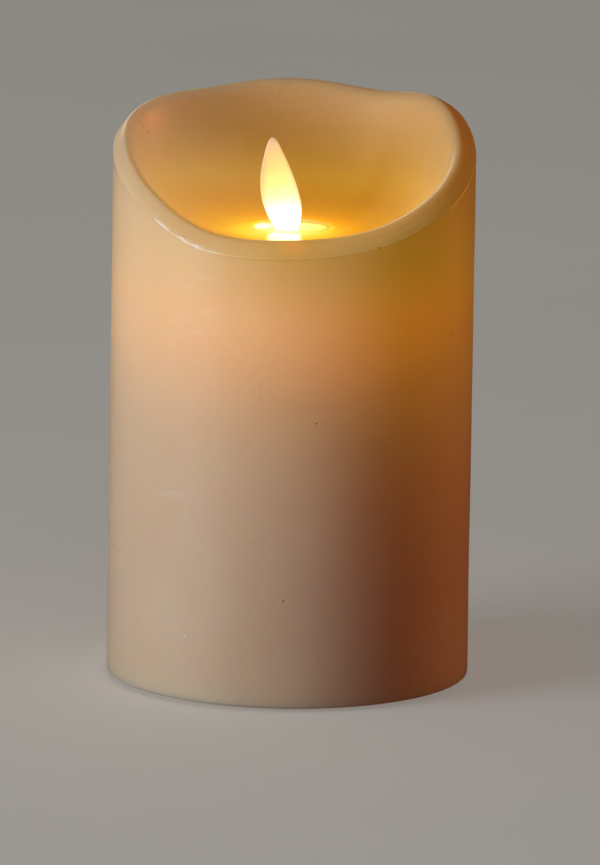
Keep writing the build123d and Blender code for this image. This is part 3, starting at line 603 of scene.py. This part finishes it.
# Light given off by the leaf, by height above the wire in mm. A ramp holds no value over 1, so
# this light and the leaf's half widths go in divided by BRIGHTEST and WIDEST.
BRIGHTEST = 5.0
WIDEST = 5.0
FLAME_LIGHT = [
    (10.0, (5.0, 4.4, 2.6)), (14.0, (5.0, 4.6, 3.2)), (16.2, (2.8, 2.7, 2.0)),
    (18.2, (1.40, 1.38, 0.95)), (20.6, (1.03, 1.02, 0.50)), (23.8, (0.99, 0.88, 0.25)),
    (27.2, (0.98, 0.66, 0.185)), (30.0, (0.93, 0.55, 0.180)), (32.3, (0.80, 0.45, 0.195)),
    (FLAME_TIP, (0.55, 0.35, 0.20)),
]


def glow(n, spot, spot_colour):
    """Warm light soaked through the piece, fading with distance, and one spot of its own."""
    away = n.spread(n.distance(GLOW_CENTRE), 0.0, GLOW_REACH * MM, 0.0, 1.0)
    soaked = n.ramp(away, [(d / GLOW_REACH, colour) for d, colour in GLOW])
    at_spot = n.spread(n.distance(spot), SPOT_IN, SPOT_OUT, 1.0, 0.0)
    n.link(n.mix(at_spot, soaked, spot_colour), n.socket("Emission Color"))
    n.socket("Emission Strength").default_value = 1.0


def speck_mask(n, specks):
    """1 inside any of the specks on the wax's side, 0 elsewhere."""
    mask = 0.0
    for angle, height, size in specks:
        turn = math.radians(angle)
        spot = (WAX_R * math.cos(turn), WAX_R * math.sin(turn), height * MM)
        inside = n.spread(n.distance(spot), 0.6 * size * MM, 1.2 * size * MM, 1.0, 0.0)
        mask = n.math("MAXIMUM", mask, inside)
    return mask


def scratch_mask(n):
    """Patches of fine level scratches, most of them at the front left."""
    lines = n.noise(1100.0, 2.0, 0.6, stretch=(0.07, 0.07, 1), distort=0.5)
    black, white = (0.0, 0.0, 0.0), (1.0, 1.0, 1.0)
    fine = n.ramp(lines, [(0.52, black), (0.57, white), (0.62, black)])
    upper = n.spread(n.distance((-0.0215, -0.034, 0.088)), 5 * MM, 13 * MM, 1.0, 0.0)
    lower = n.spread(n.distance((-0.026, -0.030, 0.045)), 3 * MM, 10 * MM, 0.7, 0.0)
    rubbed = n.spread(n.noise(160.0, 2.0), 0.42, 0.62, 0.0, 1.0)
    patch = n.math("MAXIMUM", n.math("MAXIMUM", upper, lower), 0.12)
    return n.math("MULTIPLY", fine, n.math("MULTIPLY", patch, rubbed))


def wax_colour(n, scratches):
    """Ivory, with painted warm lamplight where the lamp is near and at the front lip, with flecks,
    scratches, specks and the edge's marks.
    """
    cloud = n.noise(38.0, 4.0, 0.5)
    ivory = n.ramp(cloud, [(0.30, (0.80, 0.625, 0.440)), (0.70, (0.85, 0.685, 0.500))])
    # Painted lamplight: the base colour turns amber near the bowl's back and the front lip, and deep
    # orange round the glow's centre.
    near = n.spread(n.distance(BOWL_BACK), 14 * MM, 53 * MM, 1.0, 0.0)
    painted_lip_glow = n.spread(n.distance(FRONT_LIP), 3 * MM, 19 * MM, 0.6, 0.0)
    body = n.mix(n.math("MAXIMUM", near, painted_lip_glow), ivory, (0.75, 0.44, 0.14))
    low = n.spread(n.distance(GLOW_CENTRE), 10 * MM, 34 * MM, 1.0, 0.0)
    body = n.mix(low, body, (0.76, 0.42, 0.05))
    flecks = n.ramp(n.noise(1500.0, 2.0, 0.5), [(0.70, (0.0, 0.0, 0.0)), (0.76, (1.0, 1.0, 1.0))])
    body = n.mix(n.math("MULTIPLY", flecks, 0.35), body, (0.45, 0.30, 0.18))
    body = n.mix(n.math("MULTIPLY", scratches, 0.5), body, (0.97, 0.88, 0.76))
    body = n.mix(speck_mask(n, PALE_SPECKS), body, (1.0, 0.97, 0.92))
    body = n.mix(speck_mask(n, DARK_SPECKS), body, (0.20, 0.11, 0.05))
    body = n.mix(n.math("MULTIPLY", n.attribute("seam"), 0.30), body, (0.30, 0.17, 0.08))
    # Pale on the torn flash: partly the flash's own whiter wax, partly a painted highlight where it
    # catches the light.
    return n.mix(n.attribute("torn"), body, (0.98, 0.96, 0.92))


def wax_roughness(n):
    """Handled wax, smeared in patches, and wet-looking close to the lamp."""
    smear = n.noise(60.0, 5.0, 0.65, stretch=(1, 1, 0.5))
    dull = n.spread(smear, 0.3, 0.7, 0.26, 0.42)
    gloss = n.spread(n.distance(GLOW_CENTRE), 11 * MM, 17 * MM, 0.35, 1.0)
    return n.math("MULTIPLY", dull, gloss)


def wax_material():
    """Translucent wax with a slight sheen, lit from within."""
    n = Nodes("wax")
    scratches = scratch_mask(n)
    n.link(wax_colour(n, scratches), n.socket("Base Color"))
    n.link(wax_roughness(n), n.socket("Roughness"))
    n.socket("Subsurface Weight").default_value = 0.8
    n.socket("Subsurface Radius").default_value = (1.0, 0.45, 0.20)
    n.socket("Subsurface Scale").default_value = 9 * MM
    n.socket("IOR").default_value = 1.44
    n.socket("Coat Weight").default_value = 0.25
    n.socket("Coat Roughness").default_value = 0.20
    glow(n, FRONT_LIP, (0.46, 0.17, 0.0))
    n.bump(n.noise(45.0, 3.0, 0.5), 0.25, 0.3 * MM)
    n.bump(scratches, 0.3, 0.04 * MM)
    n.bump(n.noise(1800.0, 3.0, 0.6), 0.12, 0.02 * MM)
    return n.material


def leaf_place(n):
    """Height above the wire and place across the leaf (0 middle, 1 edge), as sockets."""
    from_wire = n.tree.nodes.new("ShaderNodeVectorMath")
    from_wire.operation = "SUBTRACT"
    n.link(n.coords, from_wire.inputs[0])
    from_wire.inputs[1].default_value = tuple(PIVOT)
    lean_cos, lean_sin = math.cos(FLAME_LEAN), math.sin(FLAME_LEAN)
    found = []
    for axis in ((-lean_sin, 0.0, lean_cos), (lean_cos, 0.0, lean_sin)):
        dot = n.tree.nodes.new("ShaderNodeVectorMath")
        dot.operation = "DOT_PRODUCT"
        n.link(from_wire.outputs["Vector"], dot.inputs[0])
        dot.inputs[1].default_value = axis
        found.append(dot.outputs["Value"])
    up, across = found
    widths = [(u / FLAME_TIP, (w / WIDEST,) * 3) for u, w in LEAF_RIGHT if u >= 8]
    half = n.ramp(n.spread(up, 0.0, FLAME_TIP * MM, 0.0, 1.0), widths)
    share = n.math("DIVIDE", n.math("ABSOLUTE", across), n.math("MULTIPLY", half, WIDEST * MM))
    return up, share


def flame_material():
    """Lit film: white at its foot, yellow above, peach at the tip, duller along its edge."""
    n = Nodes("flame_film")
    high, share = leaf_place(n)
    up = n.spread(high, 0.0, FLAME_TIP * MM, 0.0, 1.0)
    stops = [(h / FLAME_TIP, tuple(c / BRIGHTEST for c in colour)) for h, colour in FLAME_LIGHT]
    edge = n.spread(share, 0.70, 1.0, 0.0, 0.55)
    n.link(n.mix(edge, n.ramp(up, stops), (0.12, 0.072, 0.036)), n.socket("Emission Color"))
    n.socket("Emission Strength").default_value = BRIGHTEST
    film = n.ramp(n.noise(300.0, 3.0), [(0.3, (0.36, 0.31, 0.24)), (0.7, (0.42, 0.37, 0.29))])
    n.link(film, n.socket("Base Color"))
    n.socket("Roughness").default_value = 0.35
    n.bump(n.noise(900.0, 3.0), 0.1, 0.02 * MM)
    return n.material


def core_material():
    """Cream plastic of the core, lit yellow round the lamp."""
    n = Nodes("core_plastic")
    cream = n.ramp(n.noise(80.0, 3.0), [(0.3, (0.80, 0.74, 0.62)), (0.7, (0.86, 0.81, 0.70))])
    # Painted lamplight: the base colour turns yellow near the glow's centre.
    near = n.spread(n.distance(GLOW_CENTRE), 8 * MM, 16 * MM, 1.0, 0.0)
    n.link(n.mix(near, cream, (0.70, 0.42, 0.05)), n.socket("Base Color"))
    n.link(n.spread(n.noise(500.0), 0.3, 0.7, 0.34, 0.48), n.socket("Roughness"))
    n.bump(n.noise(1700.0, 2.0), 0.12, 0.02 * MM)
    n.socket("Subsurface Weight").default_value = 0.2
    n.socket("Subsurface Radius").default_value = (1.0, 0.6, 0.3)
    n.socket("Subsurface Scale").default_value = 2 * MM
    glow(n, NECK_LEFT, (1.0, 1.0, 0.75))
    return n.material


def lamp_material():
    """Amber epoxy that glows, brightest at its top."""
    n = Nodes("lamp_epoxy")
    low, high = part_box("led_lamp")
    up = n.spread(n.split()[2], low.z, high.z, 0.0, 1.0)
    lit = n.ramp(up, [(0.0, (0.62, 0.38, 0.10)), (0.5, (0.95, 0.66, 0.20)), (1.0, (1.0, 0.93, 0.70))])
    n.link(lit, n.socket("Emission Color"))
    n.socket("Emission Strength").default_value = 1.2
    amber = n.ramp(n.noise(400.0), [(0.3, (0.90, 0.72, 0.34)), (0.7, (0.96, 0.82, 0.46))])
    n.link(amber, n.socket("Base Color"))
    n.socket("Roughness").default_value = 0.12
    n.socket("Coat Weight").default_value = 0.6
    return n.material


# ---------------------------------------------------------------- parts with bands or patterns
def cell_material(name, node, end):
    """Plain wrap on a steel can: dark sleeve, copper-coloured band at the positive end (1 is +X)."""
    n = Nodes(name)
    low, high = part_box(node)
    start, stop = (low.x, high.x) if end > 0 else (high.x, low.x)
    place = n.spread(n.split()[0], start, stop, 0.0, 1.0)
    steel, sleeve, copper = (0.62, 0.60, 0.57), (0.015, 0.016, 0.018), (0.58, 0.26, 0.09)
    wrap = n.ramp(place, [
        (0.000, steel), (0.020, steel), (0.024, sleeve), (0.660, sleeve),
        (0.664, copper), (0.955, copper), (0.959, steel),
    ])
    scuffs = n.noise(300.0, 6.0, 0.7)
    worn = n.mix(n.spread(scuffs, 0.55, 0.75, 0.0, 0.35), wrap, (0.35, 0.33, 0.30))
    n.link(worn, n.socket("Base Color"))
    n.link(n.spread(scuffs, 0.3, 0.7, 0.22, 0.36), n.socket("Roughness"))
    n.socket("Metallic").default_value = 0.75
    n.bump(n.noise(700.0, 2.0), 0.05, 0.02 * MM)
    return n.material


def board_material():
    """Green solder mask over a grid of tracks, a little uneven."""
    n = Nodes("board_laminate")
    brick = n.tree.nodes.new("ShaderNodeTexBrick")
    n.link(n.mapped((260.0, 330.0, 1.0)), brick.inputs["Vector"])
    brick.inputs["Color1"].default_value = (0.020, 0.150, 0.050, 1)
    brick.inputs["Color2"].default_value = (0.030, 0.200, 0.070, 1)
    brick.inputs["Mortar"].default_value = (0.012, 0.090, 0.030, 1)
    brick.inputs["Mortar Size"].default_value = 0.03
    speck = n.noise(500.0, 3.0)
    mask = n.mix(n.spread(speck, 0.3, 0.7, 0.0, 0.3), brick.outputs["Color"], (0.010, 0.07, 0.025))
    n.link(mask, n.socket("Base Color"))
    n.link(n.spread(speck, 0.3, 0.7, 0.22, 0.34), n.socket("Roughness"))
    n.bump(brick.outputs["Fac"], 0.3, 0.03 * MM)
    return n.material


def two_tone(name, node, split_at, low_colour, high_colour, rough, high_metal=False):
    """One colour below a share of a node's height and another above it; one of them is metal."""
    n = Nodes(name)
    low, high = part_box(node)
    place = n.spread(n.split()[2], low.z, high.z, 0.0, 1.0)
    gap = 0.01
    body = n.ramp(place, [(split_at, low_colour), (split_at + gap, high_colour)])
    grain = n.noise(800.0, 4.0)
    dusty = n.mix(n.spread(grain, 0.3, 0.7, 0.0, 0.18), body, (0.25, 0.24, 0.22))
    n.link(dusty, n.socket("Base Color"))
    metals = ((1.0, 1.0, 1.0), (0.0, 0.0, 0.0))
    if high_metal:
        metals = metals[::-1]
    n.link(n.ramp(place, [(split_at, metals[0]), (split_at + gap, metals[1])]), n.socket("Metallic"))
    n.link(n.spread(grain, 0.3, 0.7, rough - 0.05, rough + 0.1), n.socket("Roughness"))
    n.bump(grain, 0.12, 0.02 * MM)
    return n.material


def winding_material():
    """Enamelled copper wire wound in level layers, with painted shade between the turns and painted
    highlight along them.
    """
    n = Nodes("copper_enamel")
    wire_pitch = 0.16 * MM
    ripple = n.math("SINE", n.math("MULTIPLY", n.split()[2], 2 * math.pi / wire_pitch))
    # Painted shade in the grooves between turns and painted highlight on their crowns, along with the
    # bump.
    turn_shade_and_highlight = [(0.0, (0.20, 0.045, 0.012)), (0.5, (0.62, 0.20, 0.06)), (1.0, (0.78, 0.32, 0.12))]
    n.link(n.ramp(n.spread(ripple, -1.0, 1.0, 0.0, 1.0), turn_shade_and_highlight), n.socket("Base Color"))
    n.socket("Metallic").default_value = 0.85
    n.link(n.spread(n.noise(700.0), 0.3, 0.7, 0.22, 0.36), n.socket("Roughness"))
    n.bump(ripple, 0.6, 0.05 * MM)
    return n.material


def rubber_material():
    """Matt black rubber, dusty and finely pitted."""
    n = Nodes("foot_rubber")
    dust = n.ramp(n.noise(350.0, 5.0), [(0.3, (0.018, 0.017, 0.016)), (0.7, (0.035, 0.033, 0.031))])
    n.link(dust, n.socket("Base Color"))
    n.link(n.spread(n.noise(900.0), 0.3, 0.7, 0.62, 0.84), n.socket("Roughness"))
    n.bump(n.noise(1600.0, 3.0), 0.35, 0.03 * MM)
    return n.material


def insulation(name, colour):
    """Soft wire insulation, darker where it has been handled."""
    n = Nodes(name)
    dark = tuple(c * 0.8 for c in colour)
    n.link(n.ramp(n.noise(260.0, 4.0), [(0.3, dark), (0.7, colour)]), n.socket("Base Color"))
    n.link(n.spread(n.noise(800.0), 0.3, 0.7, 0.28, 0.42), n.socket("Roughness"))
    n.bump(n.noise(1500.0, 2.0), 0.15, 0.02 * MM)
    return n.material


def node_materials():
    """Material of each node that stays as it is in the frame."""
    base = moulded("base_plastic", (0.74, 0.66, 0.52), 0.42)
    black = moulded("module_plastic", (0.035, 0.034, 0.033), 0.48)
    switch = moulded("switch_plastic", (0.025, 0.025, 0.026), 0.40)
    screws = metal("screw_steel", (0.62, 0.61, 0.60), 0.28)
    tinned = metal("tinned_metal", (0.75, 0.75, 0.74), 0.26)
    contact = metal("contact_nickel", (0.72, 0.69, 0.62), 0.24, stretch=(1, 12, 1))
    spring = metal("spring_steel", (0.66, 0.65, 0.63), 0.22, stretch=(12, 1, 1))
    legs = (0.70, 0.70, 0.69)
    chip = two_tone("chip_epoxy", "controller_chip", 0.19, legs, (0.020, 0.020, 0.021), 0.4)
    transistor = two_tone("transistor_epoxy", "driver_transistor", 0.30, legs, (0.018, 0.018, 0.019), 0.45)
    sleeve, can_top = (0.020, 0.035, 0.130), (0.66, 0.66, 0.66)
    cap = two_tone("capacitor_sleeve", "capacitor", 0.965, sleeve, can_top, 0.3, high_metal=True)
    red = insulation("wire_red", (0.55, 0.020, 0.014))
    dark = insulation("wire_black", (0.020, 0.020, 0.021))
    yellow = insulation("wire_yellow", (0.75, 0.45, 0.03))
    return {
        "inner_sleeve": core_material(),
        "module_shell_left": black, "module_shell_right": black, "led_holder": black,
        "module_joining_screws": screws, "module_mounting_screws": screws, "base_screws": screws,
        "switch_screws": screws, "board_screws": screws,
        "pivot_wire": spring, "negative_spring": spring, "link_spring": spring,
        "flame_magnet": metal("magnet_nickel", (0.74, 0.72, 0.68), 0.14, tarnish=0.1),
        "led_lamp": lamp_material(), "led_leads": tinned, "coil_pins": tinned,
        "switch_terminals": tinned,
        "coil_bobbin": moulded("bobbin_plastic", (0.72, 0.70, 0.64), 0.5),
        "coil_core": metal("soft_iron", (0.28, 0.27, 0.26), 0.42, tarnish=0.4),
        "coil_winding": winding_material(),
        "base_housing": base, "battery_door": base,
        "battery_cell_1": cell_material("cell_wrap_1", "battery_cell_1", 1),
        "battery_cell_2": cell_material("cell_wrap_2", "battery_cell_2", -1),
        "negative_contact": contact, "positive_contact": contact, "link_contact": contact,
        "rubber_feet": rubber_material(),
        "switch_body": switch, "switch_slider": moulded("knob_plastic", (0.02, 0.02, 0.021), 0.33),
        "circuit_board": board_material(), "controller_chip": chip, "driver_transistor": transistor,
        "capacitor": cap,
        "resistors": moulded("resistor_ceramic", (0.030, 0.029, 0.028), 0.35),
        "led_wire_red": red, "led_wire_black": dark, "coil_wire_left": yellow,
        "coil_wire_right": yellow, "battery_wire_black": dark, "battery_wire_red": red,
        "switch_wire_red": red, "switch_wire_yellow": yellow,
    }


def dress_nodes():
    for name, material in node_materials().items():
        for slot in NODES[name].material_slots:
            slot.material = material


# ---------------------------------------------------------------- stage, lights, camera
def make_floor():
    """Plain pale floor, lifted a little by light of its own so that its shadow stays soft."""
    n = Nodes("floor")
    pale = n.ramp(n.noise(3.0, 4.0), [(0.3, (0.66, 0.63, 0.58)), (0.7, (0.70, 0.67, 0.62))])
    n.link(pale, n.socket("Base Color"))
    n.link(pale, n.socket("Emission Color"))
    n.socket("Emission Strength").default_value = 0.30
    n.socket("Roughness").default_value = 0.75
    mesh = bpy.data.meshes.new("floor")
    work = bmesh.new()
    bmesh.ops.create_circle(work, cap_ends=True, segments=96, radius=9.0)
    work.to_mesh(mesh)
    work.free()
    floor = bpy.data.objects.new("floor", mesh)
    bpy.context.scene.collection.objects.link(floor)
    mesh.materials.append(n.material)
    floor.visible_diffuse = False
    floor.visible_glossy = False


def area_light(name, azimuth, elevation, away, size, power, colour, aim):
    """Soft panel; azimuth is degrees from the front, positive to the right."""
    a, e = math.radians(azimuth), math.radians(elevation)
    place = aim + away * Vector((math.sin(a) * math.cos(e), -math.cos(a) * math.cos(e), math.sin(e)))
    data = bpy.data.lights.new(name, "AREA")
    data.shape = "RECTANGLE"
    data.size, data.size_y = size
    data.energy = power
    data.color = colour
    lamp = bpy.data.objects.new(name, data)
    bpy.context.scene.collection.objects.link(lamp)
    lamp.location = place
    lamp.rotation_mode = "QUATERNION"
    lamp.rotation_quaternion = (place - aim).to_track_quat("Z", "Y")
    lamp.visible_camera = False
    return lamp


def light_only(lamp, pieces):
    """Let a lamp reach these pieces and leave the floor as it is."""
    lit = bpy.data.collections.new(lamp.name + "_reach")
    for piece in pieces:
        lit.objects.link(piece)
    lamp.light_linking.receiver_collection = lit


def make_lights(pieces):
    """Daylight from the left, a soft top light, and warm and filling lamps for the object alone."""
    middle = Vector((0, 0, 0.065))
    foot = Vector((0, 0, 0.02))
    left_wall = Vector((-0.030, 0.0, 0.115))
    area_light("key_window", -62, 9, 1.5, (0.85, 0.45), 13.6, (0.94, 0.96, 1.0), middle)
    area_light("top_softbox", 20, 78, 1.6, (1.2, 1.2), 0.45, (1.0, 0.93, 0.84), middle)
    side = area_light("warm_side", 120, 8, 0.9, (0.25, 0.4), 1.55, (1.0, 0.29, 0.07), middle)
    low = area_light("warm_low", 50, 4, 1.2, (0.5, 0.1), 0.38, (1.0, 0.25, 0.06), foot)
    back = area_light("back_fill", -165, 20, 1.5, (0.6, 0.6), 2.0, (1.0, 0.90, 0.78), middle)
    pale = (0.82, 1.0, 1.25)
    bowl = area_light("bowl_fill", 120, 50, 0.088, (0.04, 0.04), 0.0024, pale, left_wall)
    bowl.data.spread = math.radians(64)
    bowl.visible_glossy = False
    for lamp in (side, low, back, bowl):
        light_only(lamp, pieces)
    make_world()


def make_world():
    """Faint warm light from all round."""
    world = bpy.data.worlds.new("studio")
    bpy.context.scene.world = world
    world.use_nodes = True
    sky = world.node_tree.nodes["Background"]
    sky.inputs["Color"].default_value = (1.0, 0.80, 0.62, 1.0)
    sky.inputs["Strength"].default_value = 0.03


def make_camera():
    """Long lens from the front, a little above, tipped by a hair as in a hand-held shot."""
    elevation = math.radians(CAMERA_ELEVATION)
    back = Vector((0, -math.cos(elevation), math.sin(elevation)))
    data = bpy.data.cameras.new("camera")
    data.lens = LENS
    data.clip_start = 0.1
    data.clip_end = 60
    camera = bpy.data.objects.new("camera", data)
    bpy.context.scene.collection.objects.link(camera)
    camera.rotation_mode = "QUATERNION"
    camera.location = CAMERA_TARGET + back * CAMERA_AWAY
    turn = Matrix.Rotation(math.radians(CAMERA_ROLL), 3, "Z").to_quaternion()
    camera.rotation_quaternion = back.to_track_quat("Z", "Y") @ turn
    bpy.context.scene.camera = camera


# ---------------------------------------------------------------- build the scene
bpy.context.scene.view_settings.view_transform = "Standard"
make_camera()
make_floor()
dress_nodes()
wax = make_wax(wax_material())
flame = make_flame(flame_material())
make_lights([wax, flame, *NODES.values()])
